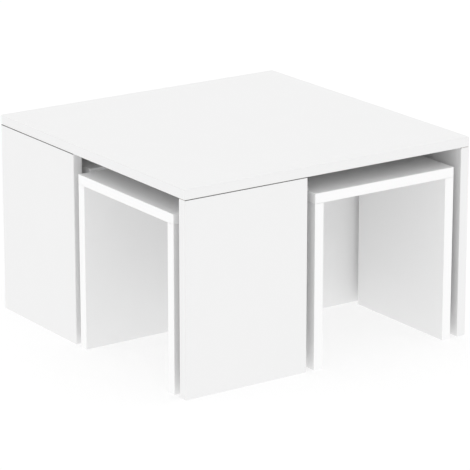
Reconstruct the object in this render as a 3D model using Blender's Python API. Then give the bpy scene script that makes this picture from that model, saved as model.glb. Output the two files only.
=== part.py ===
"""Square coffee table in white faced board, with four small tables nested under it.

The set has fourfold symmetry: a leg panel and a nested table stand at each side, and each side is the last
one turned by 90 degrees about the vertical axis. The front side faces -Y. Each side is described in the
front side's frame and turned into place by an empty. Metres, +Z up, with the origin on the floor below the
middle of the top.
"""

from math import asin, cos, pi, radians, sin

import bmesh
import bpy
from mathutils import Matrix, Vector

# Main table
board = 0.018
main_side = 0.600
main_leg_height = 0.350
main_leg_width = 0.250
main_edge_radius = 0.0015

# Room round each nested table: beside it, above it, and behind it to its neighbour's leg
side_clearance = 0.016
lift_clearance = 0.032
back_clearance = 0.016
nest_edge_chamfer = 0.0004

# Gaps between boards that meet: pulled up by a bolt, or glued
bolted_gap = 0.0003
glued_gap = 0.0002

# Fluted wooden dowels, and the bores that take them
dowel_radius = 0.004
dowel_length = 0.030
dowel_chamfer = 0.001
dowel_flute_depth = 0.0003
dowel_clearance = 0.0003
dowel_bore_in_top = 0.012
dowel_end_gap = 0.0003

# Places along a leg's top end: the dowel from each edge, and the cam lock next to it, inwards
dowel_inset = 0.058
cam_pitch = 0.032

# Cam locks in the main legs, turned from the inner face
cam_radius = 0.0072
cam_clearance = 0.0003
cam_inset = 0.024
cam_below_bolt = 0.0046
cam_floor_gap = 0.0004
cam_sink = 0.0002
cam_rim_chamfer = 0.0004
cam_cavity_radius = 0.0044
cam_cavity_shift = 0.0014
cam_cavity_half_height = 0.0036
cam_slot_half_height = 0.0021
cam_slot_inner_radius = 0.0015
cam_cross_length = 0.0062
cam_cross_width = 0.0014
cam_cross_depth = 0.0024

# Cam bolts, screwed up into the top
bolt_thread_radius = 0.003
bolt_thread_length = 0.0107
bolt_thread_clearance = 0.0003
bolt_end_gap = 0.0005
bolt_tip_chamfer = 0.001
bolt_shank_radius = 0.0035
bolt_shank_clearance = 0.0005
bolt_neck_radius = 0.0018
bolt_ball_radius = 0.0032
bolt_ball_clearance = 0.0003
bolt_ball_end_radius = 0.0018

# How far cutters run past the faces that they open
overrun = 0.002

# Angles of the cam's slot, from its entry round to past the bolt, which lies at 90 degrees
slot_start_angle = radians(-90)
slot_end_angle = radians(140)

# Facets
radius_steps = 3
chamfer_steps = 1
bore_sides = 12
pocket_sides = 40
cam_sides = 20
cavity_sides = 16
entry_sides = 12
slot_steps = 8
bolt_sides = 12
ball_steps = 4
dowel_flutes = 8

# The turns of the four sides about the vertical axis
sides = {"front": 0.0, "right": pi / 2, "back": pi, "left": -pi / 2}

# A cam lock stands in its leg with its driven face inwards and its bolt side up
cam_lock_turn = (pi / 2, 0, pi)

# Worked out from the sizes above
half_side = main_side / 2
main_height = main_leg_height + board
nest_near = -half_side + main_leg_width + side_clearance
nest_far = half_side - board - side_clearance
nest_width = nest_far - nest_near
nest_depth = half_side + nest_near - back_clearance
nest_leg_height = main_leg_height - lift_clearance - board
nest_height = nest_leg_height + board
nest_middle = Vector(((nest_near + nest_far) / 2, -half_side + nest_depth / 2, 0))
dowel_bore_radius = dowel_radius + dowel_clearance
cam_pocket_radius = cam_radius + cam_clearance
cam_pocket_depth = board / 2 + cam_below_bolt + cam_floor_gap
bolt_channel_radius = bolt_shank_radius + bolt_shank_clearance
bolt_bore_radius = bolt_thread_radius + bolt_thread_clearance
bolt_bore_depth = bolt_thread_length + bolt_end_gap
bolt_ball_drop = cam_cavity_shift - (cam_cavity_radius - bolt_ball_radius - bolt_ball_clearance)

# Surfaces: colour, roughness and whether it is metal
white_board = ((0.82, 0.82, 0.82), 0.45, 0.0)
beech = ((0.62, 0.45, 0.28), 0.7, 0.0)
zinc_steel = ((0.62, 0.62, 0.60), 0.35, 1.0)
cast_zinc = ((0.55, 0.56, 0.57), 0.45, 1.0)

# Round pieces are shaded smooth, but for edges that turn more sharply than this
sharp_edge_angle = radians(35)


def clear_scene():
    for obj in list(bpy.data.objects):
        bpy.data.objects.remove(obj, do_unlink=True)


def to_mesh(bm, name, is_round=False):
    """The finished mesh, with one empty material slot for each object's own material."""
    bmesh.ops.recalc_face_normals(bm, faces=bm.faces)
    mesh = bpy.data.meshes.new(name)
    bm.to_mesh(mesh)
    bm.free()
    mesh.materials.append(None)
    if is_round:
        shade_round(mesh)
    return mesh


def shade_round(mesh):
    mesh.shade_smooth()
    mesh.set_sharp_from_angle(angle=sharp_edge_angle)


def place(name, mesh, parent=None, location=(0, 0, 0), rotation=(0, 0, 0)):
    """An object of this mesh in the scene, under its parent. With no mesh it is an empty."""
    obj = bpy.data.objects.new(name, mesh)
    obj.parent = parent
    obj.location = location
    obj.rotation_euler = rotation
    bpy.context.scene.collection.objects.link(obj)
    return obj


def add_piece(name, mesh, surface, parent=None, location=(0, 0, 0), rotation=(0, 0, 0)):
    """A piece of the furniture, with a material of its own that carries its name."""
    color, roughness, metallic = surface
    material = bpy.data.materials.new(name)
    material.use_nodes = True
    shader = material.node_tree.nodes["Principled BSDF"]
    shader.inputs["Base Color"].default_value = (*color, 1)
    shader.inputs["Roughness"].default_value = roughness
    shader.inputs["Metallic"].default_value = metallic
    obj = place(name, mesh, parent, location, rotation)
    obj.material_slots[0].link = "OBJECT"
    obj.material_slots[0].material = material
    return obj


def add_box(bm, low, high):
    """A box between two corners, added to the mesh that is being built."""
    low, high = Vector(low), Vector(high)
    middle, size = (low + high) / 2, high - low
    bmesh.ops.create_cube(bm, size=1, matrix=Matrix.Translation(middle) @ Matrix.Diagonal((*size, 1)))


def add_bore(bm, radius, flats, start, end):
    """A round cutter between two points, whose flats lie on the drilled circle."""
    start, end = Vector(start), Vector(end)
    along = end - start
    turn = along.to_track_quat("Z", "Y").to_matrix().to_4x4()
    corner_radius = radius / cos(pi / flats)
    bmesh.ops.create_cone(
        bm,
        cap_ends=True,
        segments=flats,
        radius1=corner_radius,
        radius2=corner_radius,
        depth=along.length,
        matrix=Matrix.Translation((start + end) / 2) @ turn,
    )


def add_rings(bm, rings):
    """A closed skin through rings of points, with a flat face over the first and the last one."""
    rows = [[bm.verts.new(point) for point in ring] for ring in rings]
    for lower, upper in zip(rows, rows[1:]):
        for i in range(len(lower)):
            j = (i + 1) % len(lower)
            bm.faces.new((lower[i], lower[j], upper[j], upper[i]))
    bm.faces.new(rows[0])
    bm.faces.new(rows[-1])


def board_mesh(name, low, high, rounding, steps, square_top):
    """A board with its arrises eased. A top end that is glued under another board stays square."""
    bm = bmesh.new()
    add_box(bm, low, high)

    def on_square_end(edge):
        return square_top and all(v.co.z > (low[2] + high[2]) / 2 for v in edge.verts)

    eased = [edge for edge in bm.edges if not on_square_end(edge)]
    bmesh.ops.bevel(
        bm,
        geom=eased,
        offset=rounding,
        offset_type="OFFSET",
        segments=steps,
        profile=0.5,
        affect="EDGES",
    )
    return to_mesh(bm, name)


def cut(target, name, bm):
    """Takes the shapes in bm away from the target, with a cutter that stays out of the render."""
    cutter = place(name, to_mesh(bm, name), target.parent, target.location, target.rotation_euler)
    cutter.hide_render = True
    cutter.display_type = "WIRE"
    bore = target.modifiers.new(name, "BOOLEAN")
    bore.operation = "DIFFERENCE"
    bore.solver = "EXACT"
    bore.object = cutter


def dowel_mesh():
    """A dowel along Z, centred, with shallow flutes for the glue and eased ends."""

    def ring(z, inset):
        points = []
        for i in range(2 * dowel_flutes):
            radius = dowel_radius - inset - (i % 2) * dowel_flute_depth
            angle = pi * i / dowel_flutes
            points.append((radius * cos(angle), radius * sin(angle), z))
        return points

    end = dowel_length / 2
    shoulder = end - dowel_chamfer
    bm = bmesh.new()
    add_rings(
        bm,
        [ring(-end, dowel_chamfer), ring(-shoulder, 0), ring(shoulder, 0), ring(end, dowel_chamfer)],
    )
    return to_mesh(bm, "dowel", is_round=True)


def cam_bolt_mesh():
    """A bolt along Z with its seat at zero: thread above, then shank, neck and ball head below.

    Its outline is spun about Z. The ball lies in the cam's cavity, close to the wall that draws it up.
    """
    ball_height = -cam_inset - bolt_ball_drop
    neck_start = -(cam_inset - cam_pocket_radius)
    neck_angle = asin(bolt_neck_radius / bolt_ball_radius)
    end_angle = pi - asin(bolt_ball_end_radius / bolt_ball_radius)
    outline = [
        (bolt_thread_radius - bolt_tip_chamfer, bolt_thread_length),
        (bolt_thread_radius, bolt_thread_length - bolt_tip_chamfer),
        (bolt_thread_radius, -bolted_gap),
        (bolt_shank_radius, -bolted_gap),
        (bolt_shank_radius, neck_start + bolt_shank_radius - bolt_neck_radius),
        (bolt_neck_radius, neck_start),
    ]
    for i in range(ball_steps + 1):
        angle = neck_angle + (end_angle - neck_angle) * i / ball_steps
        outline.append((bolt_ball_radius * sin(angle), ball_height + bolt_ball_radius * cos(angle)))

    bm = bmesh.new()
    points = [bm.verts.new((radius, 0, z)) for radius, z in outline]
    edges = [bm.edges.new(pair) for pair in zip(points, points[1:])]
    bmesh.ops.spin(
        bm,
        geom=points + edges,
        axis=(0, 0, 1),
        cent=(0, 0, 0),
        angle=2 * pi,
        steps=bolt_sides,
        use_merge=True,
    )
    bmesh.ops.holes_fill(bm, edges=[edge for edge in bm.edges if edge.is_boundary])
    return to_mesh(bm, "cam_bolt", is_round=True)


def cam_lock_mesh():
    """A cam lock about Z, with zero at the bolt's level and its driven face up. The bolt comes in from +Y.

    The cavity is eccentric, so the wall between the slot's lips and the ball grows from the entry at -Y round
    to the bolt. Turning the cam draws the ball, and the board above it, down.
    """
    top = board / 2 - cam_sink
    rim = cam_radius - cam_rim_chamfer

    def ring(radius, z):
        return [
            (radius * cos(2 * pi * i / cam_sides), radius * sin(2 * pi * i / cam_sides), z)
            for i in range(cam_sides)
        ]

    bm = bmesh.new()
    levels = [
        (rim, -cam_below_bolt),
        (cam_radius, -cam_below_bolt + cam_rim_chamfer),
        (cam_radius, top - cam_rim_chamfer),
        (rim, top),
    ]
    add_rings(bm, [ring(radius, z) for radius, z in levels])
    body = place("cam_blank", to_mesh(bm, "cam_blank"))

    cavity = bmesh.new()
    add_bore(
        cavity,
        cam_cavity_radius,
        cavity_sides,
        (0, -cam_cavity_shift, -cam_cavity_half_height),
        (0, -cam_cavity_shift, cam_cavity_half_height),
    )
    cut(body, "cam_cavity", cavity)

    entry = bmesh.new()
    add_bore(
        entry,
        cam_cavity_half_height,
        entry_sides,
        (0, -cam_cavity_shift, 0),
        (0, -cam_radius - overrun, 0),
    )
    cut(body, "cam_entry", entry)

    slot = bmesh.new()
    inner, outer = cam_slot_inner_radius, cam_radius + overrun
    sections = []
    for i in range(slot_steps + 1):
        angle = slot_start_angle + (slot_end_angle - slot_start_angle) * i / slot_steps
        sections.append(
            [
                (radius * cos(angle), radius * sin(angle), z)
                for radius, z in (
                    (inner, -cam_slot_half_height),
                    (outer, -cam_slot_half_height),
                    (outer, cam_slot_half_height),
                    (inner, cam_slot_half_height),
                )
            ]
        )
    add_rings(slot, sections)
    cut(body, "cam_slot", slot)

    for name, length, width in (
        ("cam_cross_long", cam_cross_length, cam_cross_width),
        ("cam_cross_wide", cam_cross_width, cam_cross_length),
    ):
        cross = bmesh.new()
        add_box(
            cross,
            (-length / 2, -width / 2, top - cam_cross_depth),
            (length / 2, width / 2, top + overrun),
        )
        cut(body, name, cross)

    graph = bpy.context.evaluated_depsgraph_get()
    mesh = bpy.data.meshes.new_from_object(body.evaluated_get(graph))
    mesh.name = "cam_lock"
    shade_round(mesh)
    for modifier in list(body.modifiers):
        bpy.data.objects.remove(modifier.object, do_unlink=True)
    bpy.data.objects.remove(body, do_unlink=True)
    return mesh


def paired_places(width, inset):
    """Two places along a leg's top end, from its middle, each this far in from one edge."""
    return inset - width / 2, width / 2 - inset


def dowel_height(underside):
    """The height of a dowel's middle, so that its upper end nearly fills its bore in the top."""
    return underside + dowel_bore_in_top - dowel_end_gap - dowel_length / 2


def add_dowel_bore_in_top(bm, x, y, underside):
    add_bore(
        bm,
        dowel_bore_radius,
        bore_sides,
        (x, y, underside - overrun),
        (x, y, underside + dowel_bore_in_top),
    )


def add_dowel_bore_in_leg(bm, x, y, underside):
    lower_end = dowel_height(underside) - dowel_length / 2 - dowel_end_gap
    add_bore(bm, dowel_bore_radius, bore_sides, (x, y, lower_end), (x, y, underside + overrun))


def leg_end_point(place_along):
    """The point of the front leg's top end at this place, halfway through the board."""
    return Vector((-half_side + main_leg_width / 2 + place_along, -half_side + board / 2, main_leg_height))


def main_top():
    """The square top, bored from below for each side's bolts and dowels."""
    mesh = board_mesh(
        "main_top",
        (-half_side, -half_side, main_leg_height),
        (half_side, half_side, main_height),
        main_edge_radius,
        radius_steps,
        square_top=False,
    )
    top = add_piece("main_top", mesh, white_board)
    bores = bmesh.new()
    for turn in sides.values():
        quarter = Matrix.Rotation(turn, 3, "Z")
        for place_along in paired_places(main_leg_width, dowel_inset + cam_pitch):
            x, y, underside = quarter @ leg_end_point(place_along)
            add_bore(
                bores,
                bolt_bore_radius,
                bore_sides,
                (x, y, underside - overrun),
                (x, y, underside + bolt_bore_depth),
            )
        for place_along in paired_places(main_leg_width, dowel_inset):
            add_dowel_bore_in_top(bores, *(quarter @ leg_end_point(place_along)))
    cut(top, "main_top_bores", bores)


def main_leg(side, frame, meshes):
    """A leg panel flush with this side of the top, with its cam locks, bolts and dowels."""
    mesh = board_mesh(
        f"{side}_leg_panel",
        (-half_side, -half_side, 0),
        (-half_side + main_leg_width, -half_side + board, main_leg_height - bolted_gap),
        main_edge_radius,
        radius_steps,
        square_top=False,
    )
    panel = add_piece(f"{side}_leg_panel", mesh, white_board, frame)
    inner_face = -half_side + board
    cam_height = main_leg_height - cam_inset
    pockets, end_bores = bmesh.new(), bmesh.new()
    for number, place_along in enumerate(paired_places(main_leg_width, dowel_inset + cam_pitch), 1):
        x, y, underside = leg_end_point(place_along)
        add_bore(
            pockets,
            cam_pocket_radius,
            pocket_sides,
            (x, inner_face + overrun, cam_height),
            (x, inner_face - cam_pocket_depth, cam_height),
        )
        add_bore(end_bores, bolt_channel_radius, bore_sides, (x, y, cam_height), (x, y, underside + overrun))
        add_piece(
            f"{side}_cam_lock_{number}",
            meshes["cam_lock"],
            cast_zinc,
            frame,
            (x, y, cam_height),
            cam_lock_turn,
        )
        add_piece(f"{side}_cam_bolt_{number}", meshes["cam_bolt"], zinc_steel, frame, (x, y, underside))
    for number, place_along in enumerate(paired_places(main_leg_width, dowel_inset), 1):
        x, y, underside = leg_end_point(place_along)
        add_dowel_bore_in_leg(end_bores, x, y, underside)
        add_piece(
            f"{side}_leg_dowel_{number}", meshes["dowel"], beech, frame, (x, y, dowel_height(underside))
        )
    cut(panel, f"{side}_cam_pockets", pockets)
    cut(panel, f"{side}_leg_end_bores", end_bores)


def nested_table(side, frame, meshes):
    """A small table that pulls straight out of this side: a top glued and dowelled on two legs.

    Its own empty stands on the floor at its middle, on the line that the table slides along.
    """
    table = place(f"{side}_nest", None, frame, nest_middle)
    half_width, half_depth = nest_width / 2, nest_depth / 2
    mesh = board_mesh(
        f"{side}_nest_top",
        (-half_width, -half_depth, nest_leg_height),
        (half_width, half_depth, nest_height),
        nest_edge_chamfer,
        chamfer_steps,
        square_top=False,
    )
    top = add_piece(f"{side}_nest_top", mesh, white_board, table)
    top_bores = bmesh.new()
    number = 0
    for hand, middle in (("left", -half_width + board / 2), ("right", half_width - board / 2)):
        name = f"{side}_nest_leg_{hand}"
        mesh = board_mesh(
            name,
            (middle - board / 2, -half_depth, 0),
            (middle + board / 2, half_depth, nest_leg_height - glued_gap),
            nest_edge_chamfer,
            chamfer_steps,
            square_top=True,
        )
        leg = add_piece(name, mesh, white_board, table)
        leg_bores = bmesh.new()
        for y in paired_places(nest_depth, dowel_inset):
            number += 1
            add_dowel_bore_in_top(top_bores, middle, y, nest_leg_height)
            add_dowel_bore_in_leg(leg_bores, middle, y, nest_leg_height)
            add_piece(
                f"{side}_nest_dowel_{number}",
                meshes["dowel"],
                beech,
                table,
                (middle, y, dowel_height(nest_leg_height)),
            )
        cut(leg, f"{name}_bores", leg_bores)
    cut(top, f"{side}_nest_top_bores", top_bores)


def main():
    clear_scene()
    meshes = {
        "dowel": dowel_mesh(),
        "cam_bolt": cam_bolt_mesh(),
        "cam_lock": cam_lock_mesh(),
    }
    main_top()
    for side, turn in sides.items():
        frame = place(f"{side}_side", None, rotation=(0, 0, turn))
        main_leg(side, frame, meshes)
        nested_table(side, frame, meshes)


main()
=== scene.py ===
# The looks of the square white coffee table and the four small tables nested under it.
# Metres, +Z up, the front side faces -Y. Each piece keeps the place that the model gives it.

from math import asin, atan2, cos, pi, radians, sin

import bpy
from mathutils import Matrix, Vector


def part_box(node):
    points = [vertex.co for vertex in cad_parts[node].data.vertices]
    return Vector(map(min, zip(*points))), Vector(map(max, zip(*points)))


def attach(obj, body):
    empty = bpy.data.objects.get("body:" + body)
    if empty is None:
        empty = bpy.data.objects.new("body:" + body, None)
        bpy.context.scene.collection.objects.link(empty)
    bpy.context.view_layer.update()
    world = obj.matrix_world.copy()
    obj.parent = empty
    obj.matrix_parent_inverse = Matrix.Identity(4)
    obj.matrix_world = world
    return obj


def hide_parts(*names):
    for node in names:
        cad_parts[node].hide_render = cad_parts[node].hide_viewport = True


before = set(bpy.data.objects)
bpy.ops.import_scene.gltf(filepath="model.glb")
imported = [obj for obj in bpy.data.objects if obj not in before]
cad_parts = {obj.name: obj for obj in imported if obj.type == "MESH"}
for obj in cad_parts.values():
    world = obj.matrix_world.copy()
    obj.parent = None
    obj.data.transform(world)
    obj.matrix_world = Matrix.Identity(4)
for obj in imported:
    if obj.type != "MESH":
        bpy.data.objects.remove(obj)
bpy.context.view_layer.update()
sideNames = ("front", "right", "back", "left")
print("model loaded:", len(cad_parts), "pieces")

# The sockets of a mix node that mixes colours
mixShare, mixFirst, mixSecond, mixedColour = 0, 6, 7, 2


# Shader maths as plain Python
class Wire:
    def __init__(self, tree, socket=None):
        self.tree = tree
        self.socket = socket

    def make(self, kind, settings=None, sockets=None, output=0):
        node = self.tree.nodes.new(kind)
        for name, value in (settings or {}).items():
            if name == "stops":  # a ramp's stops, as place and colour
                elements = node.color_ramp.elements
                while len(elements) < len(value):
                    elements.new(1)
                for element, (place, colour) in zip(elements, value):
                    element.position = place
                    element.color = (*colour, 1)
            else:
                setattr(node, name, value)
        for name, value in (sockets or {}).items():
            if isinstance(value, Wire):
                self.tree.links.new(value.socket, node.inputs[name])
            else:
                node.inputs[name].default_value = value
        return Wire(self.tree, node.outputs[output])

    def maths(self, operation, first, second=0.0):
        return self.make("ShaderNodeMath", {"operation": operation}, {0: first, 1: second})

    def __add__(self, other):
        return self.maths("ADD", self, other)

    def __radd__(self, other):
        return self.maths("ADD", other, self)

    def __sub__(self, other):
        return self.maths("SUBTRACT", self, other)

    def __rsub__(self, other):
        return self.maths("SUBTRACT", other, self)

    def __mul__(self, other):
        return self.maths("MULTIPLY", self, other)

    def __rmul__(self, other):
        return self.maths("MULTIPLY", other, self)

    def __truediv__(self, other):
        return self.maths("DIVIDE", self, other)

    def __rtruediv__(self, other):
        return self.maths("DIVIDE", other, self)

    def __pow__(self, other):
        return self.maths("POWER", self, other)

    def __rpow__(self, other):
        return self.maths("POWER", other, self)

    def __abs__(self):
        return self.maths("ABSOLUTE", self)

    def least(self, other):
        return self.maths("MINIMUM", self, other)

    def most(self, other):
        return self.maths("MAXIMUM", self, other)

    def between(self, low, high):  # 0 at low and below it, 1 at high and above it
        return self.make(
            "ShaderNodeMapRange",
            {"interpolation_type": "SMOOTHSTEP"},
            {"Value": self, "From Min": low, "From Max": high},
        )

    def blend(self, first, second):  # self is how much of the second colour shows
        sockets = {mixShare: self, mixFirst: first, mixSecond: second}
        return self.make("ShaderNodeMix", {"data_type": "RGBA"}, sockets, output=mixedColour)


def startMaterial(name):
    material = bpy.data.materials.new(name)
    material.use_nodes = True
    tree = material.node_tree
    shader = tree.nodes["Principled BSDF"]
    place = Wire(tree).make("ShaderNodeTexCoord", output="Object")
    return material, shader, place


def feed(shader, name, value):
    if isinstance(value, Wire):
        value.tree.links.new(value.socket, shader.inputs[name])
    else:
        shader.inputs[name].default_value = value


def noise(place, size, detail=2.0, roughness=0.5):  # size is how wide one patch is
    return place.make(
        "ShaderNodeTexNoise",
        None,
        {"Vector": place, "Scale": 1 / size, "Detail": detail, "Roughness": roughness},
    )


def stretched(place, share):  # a pattern drawn out along the piece's height
    return place.make("ShaderNodeMapping", None, {"Vector": place, "Scale": (1, 1, share)})


def sway(pattern, spread):  # as much above nought as below it, and spread wide in all
    return (pattern - 0.5) * spread


def bump(shader, height):  # height in metres
    feed(shader, "Normal", height.make("ShaderNodeBump", None, {"Height": height, "Distance": 1.0}))


# White melamine-faced board, with edge bands and a chipboard core
boards = {
    "faceColour": (0.82, 0.82, 0.82),
    "bandColour": (0.82, 0.82, 0.82),
    "nestBandColour": (0.90, 0.90, 0.90),
    "glueColour": (0.74, 0.73, 0.70),
    "glueShare": 0.6,
    "glueWidth": 0.00012,
    "bandThickness": 0.0010,
    "skinThickness": 0.0006,
    "border": 0.00005,  # how softly one finish gives way to the next
    "mainRawInset": 0.0002,  # a main leg's bare core starts this far behind its faces and shows; near its top end it is painted dark as shade in the joint's groove
    "nestRawInset": 0.0011,  # a small table's starts further in, and its glued corner hides it
    "rawReach": 0.0016,  # how far down from a leg's top end its bare core may show
    "faceRoughness": 0.46,
    "bandRoughness": 0.38,
    "coreRoughness": 0.9,
    "roughnessSpread": 0.10,
    "sheenSize": 0.030,
    "mottleSize": 0.060,
    "mottleSpread": 0.012,
    "pearlSize": 0.0009,
    "pearlHeight": 0.00002,
    "chipStops": (0.35, 0.50, 0.66),
    "chipColours": ((0.19, 0.13, 0.08), (0.38, 0.28, 0.18), (0.56, 0.44, 0.30)),
    # painted shade: dark grey in place of the core's own chipboard colour, where the joint's groove
    # lies in shade
    "grooveShadeColours": ((0.060, 0.060, 0.060), (0.135, 0.135, 0.134), (0.265, 0.264, 0.260)),
    "grooveDepth": 0.0015,  # the core is painted dark grey this far in, as painted shade in the groove that the eased arris makes under the top
    "chipSize": 0.0016,
    "chipHeight": 0.0002,
}


def boardMaterial(node, bandColour, rawInset=None):
    low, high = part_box(node)
    middle, half = (low + high) / 2, (high - low) / 2
    thin = min(range(3), key=lambda axis: half[axis])  # the axis across the board
    material, shader, place = startMaterial(node)
    split = place.make("ShaderNodeSeparateXYZ", None, {0: place}).socket.node
    along = [Wire(place.tree, output) for output in split.outputs]

    def past(distance, level):  # 0 up to this level and 1 past it
        return distance.between(level - boards["border"], level + boards["border"])

    # How deep a point lies under the nearest face, and how far behind the nearest banded edge
    upright = 2
    depth = [half[axis] - abs(along[axis] - middle[axis]) for axis in range(3)]
    if rawInset:
        depth[upright] = along[upright] - low[upright]
    edge = [depth[axis] for axis in range(3) if axis != thin]
    rim = edge[0].least(edge[1])

    # The top end of a leg has no band: its core starts rawInset behind the faces, and behind the bands
    core = past(rim.least(depth[thin]), boards["skinThickness"])
    behindBand = past(rim, boards["bandThickness"])
    if rawInset:
        fromTop = high[upright] - along[upright]
        nearTop = 1 - past(fromTop, boards["rawReach"])
        rawEnd = past(depth[thin], rawInset) * behindBand * nearTop
        core = core.least(past(fromTop, boards["skinThickness"])).most(rawEnd)

    tone = 1 + sway(noise(place, boards["mottleSize"]), boards["mottleSpread"])
    mottle = place.make("ShaderNodeCombineColor", None, {0: tone, 1: tone, 2: tone})
    white = behindBand.blend((*bandColour, 1), (*boards["faceColour"], 1))
    multiply = {"data_type": "RGBA", "blend_type": "MULTIPLY"}
    sockets = {mixShare: 1.0, mixFirst: white, mixSecond: mottle}
    white = place.make("ShaderNodeMix", multiply, sockets, output=mixedColour)
    glue = 1 - (abs(rim - boards["bandThickness"]) / boards["glueWidth"]).least(1.0)
    white = (glue * boards["glueShare"]).blend(white, (*boards["glueColour"], 1))

    chips = noise(place, boards["chipSize"], detail=4.0, roughness=0.7)

    def chipColour(colours):
        stops = tuple(zip(boards["chipStops"], colours))
        return place.make("ShaderNodeValToRGB", {"stops": stops}, {"Fac": chips})

    coreColour = chipColour(boards["chipColours"])
    # Painted shade: in the groove under the top, the leg's core is painted dark grey instead of its
    # chipboard colour
    if rawInset:
        paintedGrooveShade = nearTop * (1 - past(depth[thin], boards["grooveDepth"]))
        coreColour = paintedGrooveShade.blend(coreColour, chipColour(boards["grooveShadeColours"]))
    feed(shader, "Base Color", core.blend(white, coreColour))

    sheen = sway(noise(place, boards["sheenSize"], detail=3.0), boards["roughnessSpread"])
    banded = boards["bandRoughness"] + behindBand * (boards["faceRoughness"] - boards["bandRoughness"])
    raw = core * (boards["coreRoughness"] - boards["faceRoughness"])
    feed(shader, "Roughness", banded + sheen + raw)

    pearl = noise(place, boards["pearlSize"], detail=1.0) * behindBand * boards["pearlHeight"]
    bump(shader, pearl * (1 - core) + chips * core * boards["chipHeight"])
    return material


def dressBoard(node, bandColour, rawInset=None):
    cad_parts[node].material_slots[0].material = boardMaterial(node, bandColour, rawInset)


dressBoard("main_top", boards["bandColour"])
for side in sideNames:
    dressBoard(f"{side}_leg_panel", boards["bandColour"], boards["mainRawInset"])
    dressBoard(f"{side}_nest_top", boards["nestBandColour"])
    for hand in ("left", "right"):
        dressBoard(f"{side}_nest_leg_{hand}", boards["nestBandColour"], boards["nestRawInset"])
print("boards dressed")


# Fluted beech dowels
beech = {
    "paleColour": (0.66, 0.46, 0.27),
    "darkColour": (0.50, 0.32, 0.17),
    "grainSize": 0.0012,
    "grainStretch": 0.06,
    "grainRange": (0.30, 0.70),
    "grainHeight": 0.00004,
    "fleckSize": 0.0007,
    "fleckStretch": 0.25,
    "fleckRange": (0.60, 0.72),
    "fleckDepth": 0.35,
    "roughness": 0.68,
}


def beechMaterial():
    material, shader, place = startMaterial("beech")
    grain = noise(stretched(place, beech["grainStretch"]), beech["grainSize"], detail=3.0)
    fleck = noise(stretched(place, beech["fleckStretch"]), beech["fleckSize"])
    fleck = fleck.between(*beech["fleckRange"])
    tone = (grain.between(*beech["grainRange"]) + fleck * beech["fleckDepth"]).least(1.0)
    feed(shader, "Base Color", tone.blend((*beech["paleColour"], 1), (*beech["darkColour"], 1)))
    feed(shader, "Roughness", beech["roughness"])
    bump(shader, grain * beech["grainHeight"])
    return material


# Zinc-plated steel of the bolts
zincSteel = {
    "colour": (0.63, 0.63, 0.61),
    "roughness": 0.30,
    "spread": 0.10,
    "patchSize": 0.003,
}


def zincSteelMaterial():
    material, shader, place = startMaterial("zincSteel")
    patch = noise(place, zincSteel["patchSize"], detail=3.0)
    feed(shader, "Base Color", (*zincSteel["colour"], 1))
    feed(shader, "Metallic", 1.0)
    feed(shader, "Roughness", zincSteel["roughness"] + sway(patch, zincSteel["spread"]))
    return material


# Cast zinc of the cam locks
castZinc = {
    "colour": (0.52, 0.53, 0.54),
    "darkColour": (0.44, 0.45, 0.46),
    "roughness": 0.42,
    "spread": 0.14,
    "patchSize": 0.0035,
    "patchRange": (0.30, 0.70),
    "grainSize": 0.0003,
    "grainHeight": 0.000012,
}


def castZincMaterial():
    material, shader, place = startMaterial("castZinc")
    patch = noise(place, castZinc["patchSize"], detail=4.0)
    pale = patch.between(*castZinc["patchRange"])
    feed(shader, "Base Color", pale.blend((*castZinc["darkColour"], 1), (*castZinc["colour"], 1)))
    feed(shader, "Metallic", 1.0)
    feed(shader, "Roughness", castZinc["roughness"] + sway(patch, castZinc["spread"]))
    bump(shader, noise(place, castZinc["grainSize"], detail=1.0) * castZinc["grainHeight"])
    return material


finishes = {  # by the model's material slots
    "beech_dowel": beechMaterial(),
    "zinc_plated_bolt": zincSteelMaterial(),
    "cast_cam_lock": castZincMaterial(),
}
print("wood and metal ready")


# Steps that the new pieces share. What an operator acts on is chosen by its place or its normal.
mergeDistance = 0.000003  # points closer than this become one
endFacing = 0.9  # a face looks along the axis at least this straight, to count as an end


def startPiece():  # leaves edit mode, with nothing selected
    if bpy.context.object and bpy.context.object.mode != "OBJECT":
        bpy.ops.object.mode_set(mode="OBJECT")
    bpy.ops.object.select_all(action="DESELECT")


def pick(piece):
    startPiece()
    piece.select_set(True)
    bpy.context.view_layer.objects.active = piece


def openAll():  # into edit mode with everything selected
    bpy.ops.object.mode_set(mode="EDIT")
    bpy.ops.mesh.select_all(action="SELECT")


def choose(kind, test):  # selects the points or faces that pass the test, in edit mode
    piece = bpy.context.object
    bpy.ops.object.mode_set(mode="EDIT")
    bpy.ops.mesh.select_mode(type=kind)
    bpy.ops.mesh.select_all(action="DESELECT")
    bpy.ops.object.mode_set(mode="OBJECT")
    things = {"VERT": piece.data.vertices, "FACE": piece.data.polygons}[kind]
    for thing in things:
        thing.select = test(thing)
    bpy.ops.object.mode_set(mode="EDIT")


def chooseEnd(way):  # the upper end for 1, the lower one for -1
    choose("FACE", lambda face: face.normal.z * way > endFacing)


def turnedPiece(name, outline, steps):  # outline is radius and height, from axis to axis
    startPiece()
    radius, height = outline[0]
    bpy.ops.mesh.primitive_plane_add(location=(0, 0, 0))
    piece = bpy.context.object
    piece.name = name
    openAll()
    bpy.ops.mesh.select_mode(type="VERT")
    bpy.ops.mesh.merge(type="CENTER")  # one point is left, and the outline is drawn on from it
    bpy.ops.transform.translate(value=(radius, 0, height))
    for nextRadius, nextHeight in outline[1:]:
        step = (nextRadius - radius, 0, nextHeight - height)
        bpy.ops.mesh.extrude_region_move(TRANSFORM_OT_translate={"value": step})
        radius, height = nextRadius, nextHeight
    bpy.ops.mesh.select_all(action="SELECT")
    bpy.ops.mesh.spin(steps=steps, angle=radians(360), center=(0, 0, 0), axis=(0, 0, 1))
    bpy.ops.mesh.select_all(action="SELECT")
    bpy.ops.mesh.remove_doubles(threshold=mergeDistance)
    bpy.ops.mesh.normals_make_consistent(inside=False)
    bpy.ops.object.mode_set(mode="OBJECT")
    return piece


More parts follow.
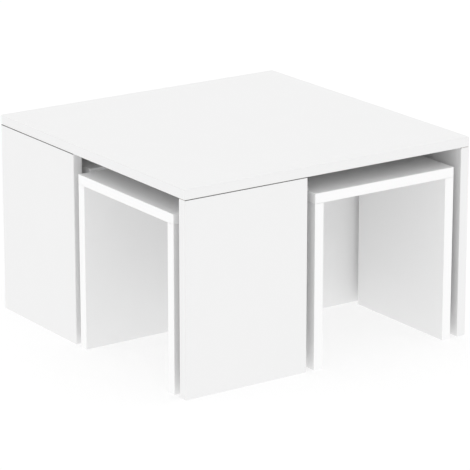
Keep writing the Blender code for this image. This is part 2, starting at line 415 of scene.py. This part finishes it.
def combine(piece, others, operation):  # takes other shapes away from the piece, or joins them on
    for other in others:
        pick(piece)
        step = piece.modifiers.new(other.name, "BOOLEAN")
        step.operation = operation
        step.solver = "EXACT"
        step.object = other
        bpy.ops.object.modifier_apply(modifier=step.name)
        bpy.data.objects.remove(other, do_unlink=True)
    openAll()
    bpy.ops.mesh.remove_doubles(threshold=mergeDistance)  # the cuts leave slivers behind
    bpy.ops.object.mode_set(mode="OBJECT")


def crossBars(name, length, width, top, depth, taper, turn=0):  # a driver's cross, narrower at its foot
    bars = []
    for quarter in (0, 90):
        startPiece()
        bpy.ops.mesh.primitive_cube_add(size=1, location=(0, 0, 0))
        bar = bpy.context.object
        bar.name = f"{name}{quarter}"
        openAll()
        bpy.ops.transform.resize(value=(length, width, depth))
        bpy.ops.transform.translate(value=(0, 0, top - depth / 2))
        chooseEnd(-1)
        bpy.ops.transform.resize(value=(taper, taper, 1))
        bpy.ops.object.mode_set(mode="OBJECT")
        bar.rotation_euler.z = radians(turn + quarter)
        bars.append(bar)
    return bars


def smoothTurns(piece, angle):  # edges that turn more than this stay sharp
    pick(piece)
    bpy.ops.object.shade_smooth_by_angle(angle=radians(angle))


def putCopy(pattern, node, place, turn, body, slotName):  # the copy stands for this node
    pick(pattern)
    bpy.ops.object.duplicate()
    copy = bpy.context.object
    first, *rest = node.split("_")
    copy.name = copy.data.name = first + "".join(word.capitalize() for word in rest)
    copy.location = place
    copy.rotation_euler = turn
    bpy.ops.object.transform_apply(location=True, rotation=True, scale=True)
    copy.data.materials.append(finishes[slotName])
    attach(copy, body)
    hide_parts(node)


# Cam locks, drawn about the bolt's level with the driven face up and the bolt's side at +Y
camLock = {
    "radius": 0.0072,
    "foot": -0.0046,
    "face": 0.0088,
    "footChamfer": 0.0004,
    "rimRounding": 0.00025,
    "rimWidth": 0.0008,
    "fieldDrop": 0.0003,
    "sides": 72,
    "cavityRadius": 0.0044,
    "cavityShift": 0.0014,
    "cavityHalf": 0.0036,
    "cavitySides": 48,
    "slotHalf": 0.0021,
    "slotInner": 0.0015,
    "slotAngles": (-90, 140),
    "slotSteps": 36,
    "crossLength": 0.0062,
    "crossWidth": 0.0014,
    "crossDepth": 0.0024,
    "crossTaper": 0.72,
    "tickLength": 0.0040,  # the thin cross between the arms of the other
    "tickWidth": 0.0004,
    "tickDepth": 0.0005,
    "arrowRadius": 0.0011,
    "arrowPlace": 0.0047,
    "arrowDepth": 0.0006,
    "overrun": 0.002,  # how far a cutter runs past the face that it opens
    "smoothAngle": 30,
}


def lockDrum():
    radius, foot, face = camLock["radius"], camLock["foot"], camLock["face"]
    rounding, drop = camLock["rimRounding"], camLock["fieldDrop"]
    eased = rounding * (1 - cos(radians(45)))
    rimInside = radius - rounding - camLock["rimWidth"]
    outline = (
        (0, foot),
        (radius - camLock["footChamfer"], foot),
        (radius, foot + camLock["footChamfer"]),
        (radius, face - rounding),
        (radius - eased, face - eased),
        (radius - rounding, face),
        (rimInside, face),
        (rimInside - drop, face - drop),
        (0, face - drop),
    )
    return turnedPiece("camLock", outline, camLock["sides"])


def lockCavity():  # the eccentric room for the ball, and its entry from the side away from the bolt
    shift, half = camLock["cavityShift"], camLock["cavityHalf"]
    reach = camLock["radius"] + camLock["overrun"] - shift
    sizes = (
        ("cavity", camLock["cavityRadius"], 2 * half, (0, -shift, 0), 0),
        ("entry", half, reach, (0, -shift - reach / 2, 0), radians(90)),
    )
    cutters = []
    for name, radius, length, place, tilt in sizes:
        startPiece()
        bpy.ops.mesh.primitive_cylinder_add(
            vertices=camLock["cavitySides"],
            radius=radius,
            depth=length,
            location=place,
            rotation=(tilt, 0, 0),
        )
        bpy.context.object.name = name
        cutters.append(bpy.context.object)
    return cutters


def lockSlot():  # lets the bolt's neck pass as the lock is turned
    inner, outer = camLock["slotInner"], camLock["radius"] + camLock["overrun"]
    first, last = camLock["slotAngles"]
    startPiece()
    bpy.ops.mesh.primitive_plane_add(size=1, location=(0, 0, 0))
    slot = bpy.context.object
    slot.name = "slot"
    slot.scale = (outer - inner, 2 * camLock["slotHalf"], 1)
    slot.rotation_euler = (radians(90), 0, 0)
    slot.location = ((inner + outer) / 2, 0, 0)
    bpy.ops.object.transform_apply(location=True, rotation=True, scale=True)
    slot.rotation_euler = (0, 0, radians(last))  # the spin runs back from here
    bpy.ops.object.transform_apply(location=True, rotation=True, scale=True)
    openAll()
    bpy.ops.mesh.spin(
        steps=camLock["slotSteps"], angle=radians(last - first), center=(0, 0, 0), axis=(0, 0, 1)
    )
    bpy.ops.mesh.select_all(action="SELECT")
    bpy.ops.mesh.normals_make_consistent(inside=False)
    bpy.ops.object.mode_set(mode="OBJECT")
    return slot


def lockArrow(field):  # points at the bolt
    startPiece()
    bpy.ops.mesh.primitive_cylinder_add(
        vertices=3,
        radius=camLock["arrowRadius"],
        depth=2 * camLock["arrowDepth"],
        location=(0, camLock["arrowPlace"], field),
    )
    arrow = bpy.context.object
    arrow.name = "arrow"
    return arrow


def camLockPattern():
    lock = lockDrum()
    field = camLock["face"] - camLock["fieldDrop"]
    overrun, taper = camLock["overrun"], camLock["crossTaper"]
    bars = []
    for name, turn in (("cross", 0), ("tick", 45)):
        length, width = camLock[f"{name}Length"], camLock[f"{name}Width"]
        depth = camLock[f"{name}Depth"] + overrun
        bars += crossBars(name, length, width, field + overrun, depth, taper, turn)
    combine(lock, [*lockCavity(), lockSlot(), *bars, lockArrow(field)], "DIFFERENCE")
    smoothTurns(lock, camLock["smoothAngle"])
    return lock


# Cam bolts, drawn about the joint's level, with the thread up in the top and the ball down in the lock
camBolt = {
    "tip": 0.0107,
    "tipRadius": 0.0017,
    "tipChamfer": 0.0009,
    "coreRadius": 0.0023,
    "crestRadius": 0.0030,
    "threadPitch": 0.0016,
    "threadTurns": 5,
    "threadSteps": 32,
    "threadStart": 0.0013,
    "threadHalf": 0.00055,
    "threadSink": 0.0001,
    "runOutShare": 0.74,
    "collarHalf": 0.0003,
    "shankRadius": 0.0035,
    "shankChamfer": 0.0003,
    "grooveHeights": (-0.0060, -0.0105),
    "grooveHalf": 0.0005,
    "grooveFloorShare": 0.4,
    "grooveDepth": 0.0003,
    "shankFoot": -0.0148,
    "neckTop": -0.0165,
    "neckRadius": 0.0018,
    "ballHeight": -0.0245,
    "ballRadius": 0.0032,
    "ballEnd": 0.0018,
    "ballSteps": 12,
    "sides": 48,
    "driveLength": 0.0024,
    "driveWidth": 0.0006,
    "driveDepth": 0.0012,
    "smoothAngle": 30,
}


def boltOutline():
    core, shank, chamfer = camBolt["coreRadius"], camBolt["shankRadius"], camBolt["shankChamfer"]
    collar = camBolt["collarHalf"]
    outline = [
        (0, camBolt["tip"]),
        (camBolt["tipRadius"], camBolt["tip"]),
        (core, camBolt["tip"] - camBolt["tipChamfer"]),
        (core, collar),
        (camBolt["crestRadius"], collar),
        (camBolt["crestRadius"], -collar),
        (shank - chamfer, -collar),
        (shank, -collar - chamfer),
    ]
    half, floor = camBolt["grooveHalf"], camBolt["grooveHalf"] * camBolt["grooveFloorShare"]
    for middle in camBolt["grooveHeights"]:
        outline += [
            (shank, middle + half),
            (shank - camBolt["grooveDepth"], middle + floor),
            (shank - camBolt["grooveDepth"], middle - floor),
            (shank, middle - half),
        ]
    outline += [(shank, camBolt["shankFoot"]), (camBolt["neckRadius"], camBolt["neckTop"])]
    ball, height, steps = camBolt["ballRadius"], camBolt["ballHeight"], camBolt["ballSteps"]
    first = asin(camBolt["neckRadius"] / ball)
    last = pi - asin(camBolt["ballEnd"] / ball)
    for step in range(steps + 1):
        angle = first + (last - first) * step / steps
        outline.append((ball * sin(angle), height + ball * cos(angle)))
    foot = outline[-1][1]
    return [*outline, (0, foot)]


def threadRidge():  # one triangle, wound up round the core
    startPiece()
    standing = (radians(90), 0, 0)
    bpy.ops.mesh.primitive_circle_add(vertices=3, radius=1, fill_type="NOTHING", rotation=standing)
    ridge = bpy.context.object
    ridge.name = "threadRidge"
    bpy.ops.object.transform_apply(location=False, rotation=True, scale=False)
    ridge.rotation_euler = (0, radians(90), 0)  # its point now faces +X
    bpy.ops.object.transform_apply(location=False, rotation=True, scale=False)
    tall, halfWide = 1.5, sin(radians(60))  # of a triangle in a circle of radius 1
    reach = camBolt["crestRadius"] - camBolt["coreRadius"] + camBolt["threadSink"]
    ridge.scale = (reach / tall, 1, camBolt["threadHalf"] / halfWide)
    ridge.location = (camBolt["crestRadius"] - reach / tall, 0, camBolt["threadStart"])
    bpy.ops.object.transform_apply(location=True, rotation=True, scale=True)
    climb = ridge.modifiers.new("climb", "SCREW")
    climb.axis = "Z"
    climb.screw_offset = camBolt["threadPitch"]
    climb.iterations = camBolt["threadTurns"]
    climb.steps = climb.render_steps = camBolt["threadSteps"]
    bpy.ops.object.modifier_apply(modifier=climb.name)
    start, halfRidge = camBolt["threadStart"], camBolt["threadHalf"] + mergeDistance
    for level in (start, start + camBolt["threadTurns"] * camBolt["threadPitch"]):

        def atEnd(vert):
            return abs(vert.co.z - level) < halfRidge and abs(vert.co.y) < mergeDistance

        choose("VERT", atEnd)  # the crest runs out into the core at both ends
        bpy.ops.transform.resize(value=(camBolt["runOutShare"], 1, 1), center_override=(0, 0, 0))
    bpy.ops.mesh.select_all(action="SELECT")
    bpy.ops.mesh.fill_holes(sides=4)
    bpy.ops.mesh.select_all(action="SELECT")
    bpy.ops.mesh.normals_make_consistent(inside=False)
    bpy.ops.object.mode_set(mode="OBJECT")
    return ridge


def camBoltPattern():
    outline = boltOutline()
    foot = outline[-1][1]
    bolt = turnedPiece("camBolt", outline, camBolt["sides"])
    depth = camBolt["driveDepth"]
    length, width = camBolt["driveLength"], camBolt["driveWidth"]
    drive = crossBars("drive", length, width, top=foot + depth, depth=2 * depth, taper=1)
    combine(bolt, drive, "DIFFERENCE")
    combine(bolt, [threadRidge()], "UNION")
    smoothTurns(bolt, camBolt["smoothAngle"])
    return bolt


# Beech dowels, drawn upright about their middle
dowel = {
    "radius": 0.004,
    "length": 0.030,
    "chamfer": 0.001,
    "flutes": 8,
    "columnsPerFlute": 8,
    "fluteDepth": 0.0003,
    "fluteShares": {-1: 0.5, 0: 1.0, 1: 0.5},  # of the depth, by the column from the flute's middle
    "smoothAngle": 25,
}


def dowelPattern():
    radius, chamfer, perFlute = dowel["radius"], dowel["chamfer"], dowel["columnsPerFlute"]
    columns = dowel["flutes"] * perFlute
    straight = dowel["length"] - 2 * chamfer
    startPiece()
    bpy.ops.mesh.primitive_cylinder_add(vertices=columns, radius=radius, depth=straight)
    piece = bpy.context.object
    piece.name = "dowel"
    endShare = (radius - chamfer) / radius
    for way in (1, -1):
        chooseEnd(way)
        bpy.ops.mesh.extrude_region_move(TRANSFORM_OT_translate={"value": (0, 0, way * chamfer)})
        bpy.ops.transform.resize(value=(endShare, endShare, 1), center_override=(0, 0, 0))
    for offset, share in dowel["fluteShares"].items():

        def inFlute(vert):
            column = round(atan2(vert.co.y, vert.co.x) / radians(360) * columns)
            return column % perFlute == perFlute // 2 + offset

        choose("VERT", inFlute)
        inward = 1 - share * dowel["fluteDepth"] / radius
        bpy.ops.transform.resize(value=(inward, inward, 1), center_override=(0, 0, 0))
    bpy.ops.object.mode_set(mode="OBJECT")
    smoothTurns(piece, dowel["smoothAngle"])
    return piece


def boxMiddle(node):
    low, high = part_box(node)
    return [(low[axis] + high[axis]) / 2 for axis in range(3)]


lockPattern, boltPattern, peg = camLockPattern(), camBoltPattern(), dowelPattern()
lockMiddle = (camLock["foot"] + camLock["face"]) / 2
for index, side in enumerate(sideNames):
    turn = radians(90 * index)
    inwards = (-sin(turn), cos(turn), 0)
    for number in (1, 2):
        node = f"{side}_cam_lock_{number}"
        spot = [middle - way * lockMiddle for middle, way in zip(boxMiddle(node), inwards)]
        lockTurn = (radians(90), 0, radians(180) + turn)
        putCopy(lockPattern, node, spot, lockTurn, "main_table", "cast_cam_lock")
        node = f"{side}_cam_bolt_{number}"
        x, y, _ = boxMiddle(node)
        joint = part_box(node)[1][2] - camBolt["tip"]
        putCopy(boltPattern, node, (x, y, joint), (0, 0, turn), "main_table", "zinc_plated_bolt")
        node = f"{side}_leg_dowel_{number}"
        putCopy(peg, node, boxMiddle(node), (0, 0, turn), "main_table", "beech_dowel")
    for number in (1, 2, 3, 4):
        node = f"{side}_nest_dowel_{number}"
        putCopy(peg, node, boxMiddle(node), (0, 0, turn), f"{side}_table", "beech_dowel")
for pattern in (lockPattern, boltPattern, peg):
    bpy.data.objects.remove(pattern, do_unlink=True)
print("dowels and fittings made")


# Studio: a pale floor inside an evenly lit white tent
studio = {
    "evenLight": 0.98,  # from all round
    "lightOverhead": 0.42,  # added straight above, for the top faces
    "overheadTightness": 6.0,
    "lightBelow": 0.30,  # added from below, for the inner faces
    "floorSize": 60.0,
    "floorDrop": 0.0001,  # below the legs, so that their ends show from under the floor
    "shadowShare": 0.30,  # how much of the shadow shows on the white floor
}


def makeFloor():
    startPiece()
    bpy.ops.mesh.primitive_plane_add(size=studio["floorSize"], location=(0, 0, -studio["floorDrop"]))
    floor = bpy.context.object
    floor.name = "floor"
    floor.visible_diffuse = False  # the tent lights the tables from below too
    floor.visible_shadow = False
    material = bpy.data.materials.new("floor")
    material.use_nodes = True
    tree = material.node_tree
    tree.nodes.clear()
    start = Wire(tree)
    shadowed = start.make("ShaderNodeBsdfDiffuse", None, {"Color": (1, 1, 1, 1)})
    bright = start.make("ShaderNodeEmission", None, {"Color": (1, 1, 1, 1), "Strength": 1.0})
    whiteShare = 1 - studio["shadowShare"]
    above = start.make("ShaderNodeMixShader", None, {0: whiteShare, 1: shadowed, 2: bright})
    clear = start.make("ShaderNodeBsdfTransparent")
    fromBelow = start.make("ShaderNodeNewGeometry", output="Backfacing")
    surface = start.make("ShaderNodeMixShader", None, {0: fromBelow, 1: above, 2: clear})
    output = tree.nodes.new("ShaderNodeOutputMaterial")
    tree.links.new(surface.socket, output.inputs["Surface"])
    floor.data.materials.append(material)


def makeWorld():
    world = bpy.data.worlds.new("tent")
    world.use_nodes = True
    background = world.node_tree.nodes["Background"]
    background.inputs["Color"].default_value = (1, 1, 1, 1)
    towards = Wire(world.node_tree).make("ShaderNodeTexCoord", output="Generated")
    split = towards.make("ShaderNodeSeparateXYZ", None, {0: towards}).socket.node
    upwards = Wire(world.node_tree, split.outputs["Z"])
    overhead = upwards.most(0.0) ** studio["overheadTightness"] * studio["lightOverhead"]
    below = (0 - upwards).most(0.0) * studio["lightBelow"]
    feed(background, "Strength", studio["evenLight"] + overhead + below)
    bpy.context.scene.world = world


makeFloor()
makeWorld()
bpy.context.scene.view_settings.view_transform = "Standard"
print("studio ready")


# Camera, at the photograph's angle
camera = {
    "place": (-2.815, -4.100, 1.678),
    "heading": radians(34.54),  # turned from +Y towards +X
    "pitch": radians(16.93),  # down from level
    "lens": 221.3,
    "sensorWidth": 36.0,
}


def makeCamera():
    data = bpy.data.cameras.new("camera")
    data.lens = camera["lens"]
    data.sensor_width = camera["sensorWidth"]
    eye = bpy.data.objects.new("camera", data)
    eye.location = camera["place"]
    eye.rotation_euler = (radians(90) - camera["pitch"], 0, -camera["heading"])
    bpy.context.scene.collection.objects.link(eye)
    bpy.context.scene.camera = eye


makeCamera()
print("camera placed")
